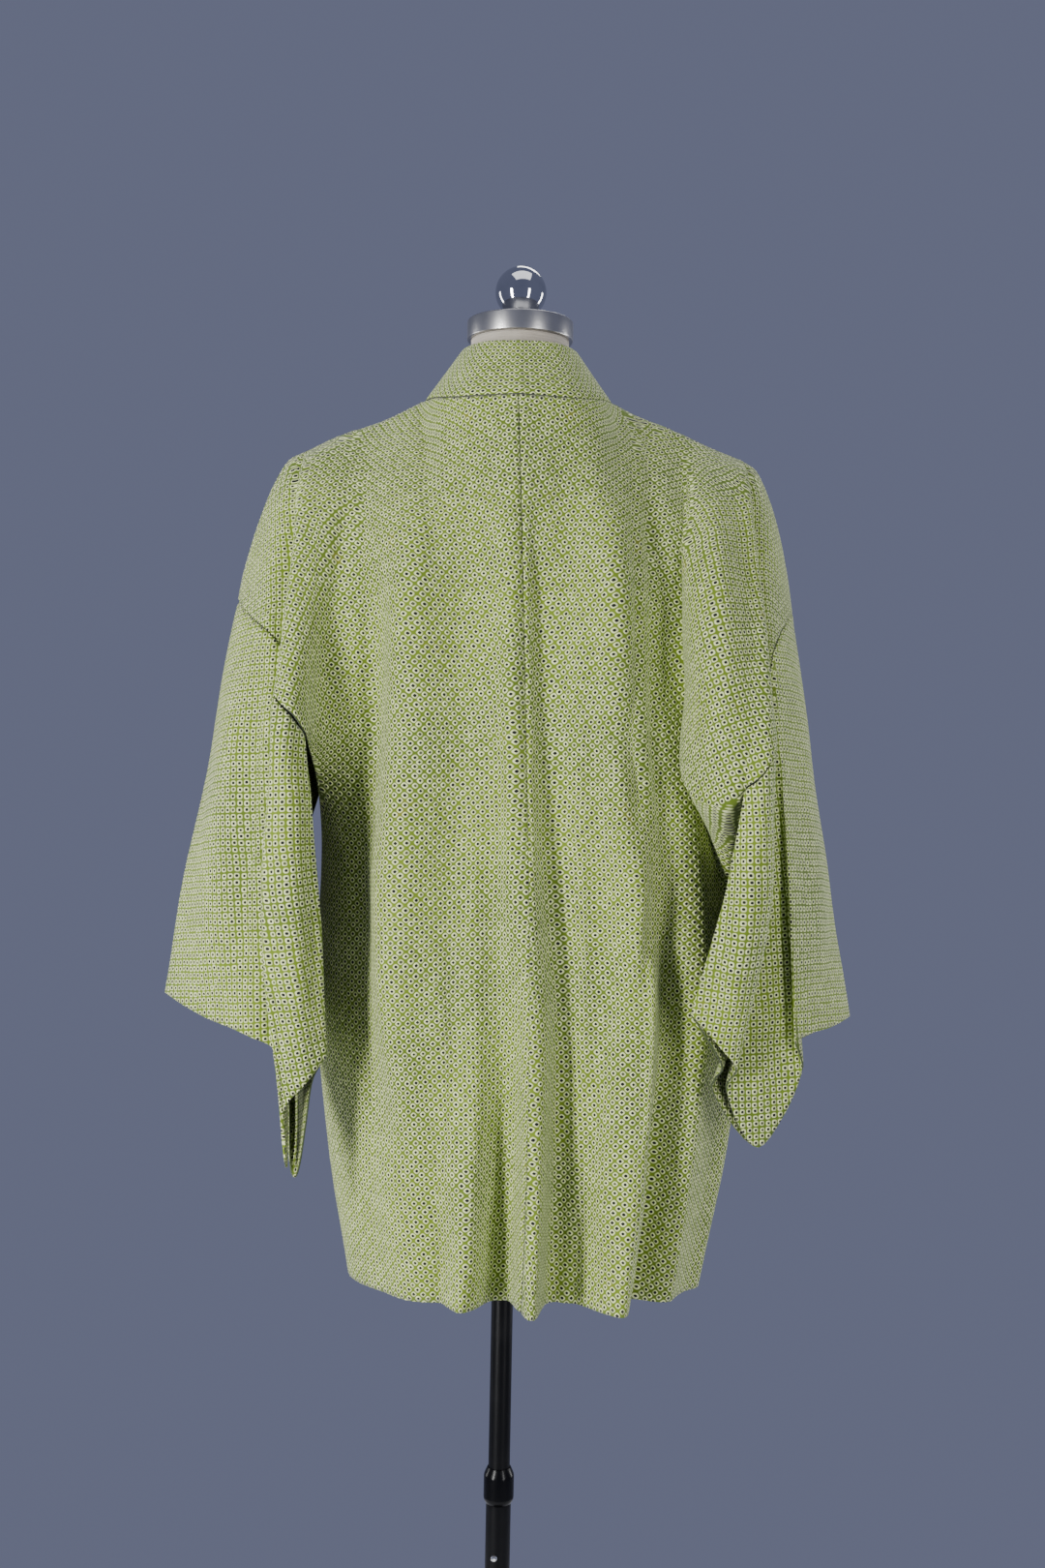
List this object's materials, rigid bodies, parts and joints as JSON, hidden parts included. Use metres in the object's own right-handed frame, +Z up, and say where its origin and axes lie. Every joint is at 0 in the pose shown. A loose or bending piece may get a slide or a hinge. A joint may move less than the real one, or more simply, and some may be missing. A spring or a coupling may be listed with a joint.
{
  "type": "haori jacket on a limbless dress form",
  "caption": "Hip-length haori with hanging square sleeves and a band collar, draped on a limbless dress form with neck cap, ball finial and adjustable pole stand.",
  "frame": {"origin": "centre of the base's underside, on the pole's axis, on the floor", "axes": "+Z up along the pole, +Y the way the wearer faces, +X the wearer's right; the back view looks along +Y"},
  "size_m": [0.6031, 0.36, 1.604],
  "materials": {
    "cloth": "matte",
    "cream": "matte",
    "steel": "satin",
    "chrome": "polished",
    "black": "satin"
  },
  "bodies": {
    "stand": {"base": "black", "lower_tube": "black", "lock_collar": "black", "stop_screw": "chrome"},
    "pole": {"mast": "black"},
    "form": {"torso": "cream", "neck_cap": "steel", "ball_finial": "chrome", "body_left": "cloth", "body_right": "cloth", "gusset_left": "cloth", "gusset_right": "cloth", "sleeve_left": "cloth", "sleeve_right": "cloth", "collar": "cloth"}
  },
  "joints": [
    {"name": "height_slide", "type": "slide", "parent": "stand", "child": "pole", "axis": [0, 0, 1], "range_m": [-0.1, 0.2]},
    {"name": "form_turn", "type": "hinge", "parent": "pole", "child": "form", "pos_m": [0, 0, 0.8], "axis": [0, 0, 1], "continuous": true}
  ]
}
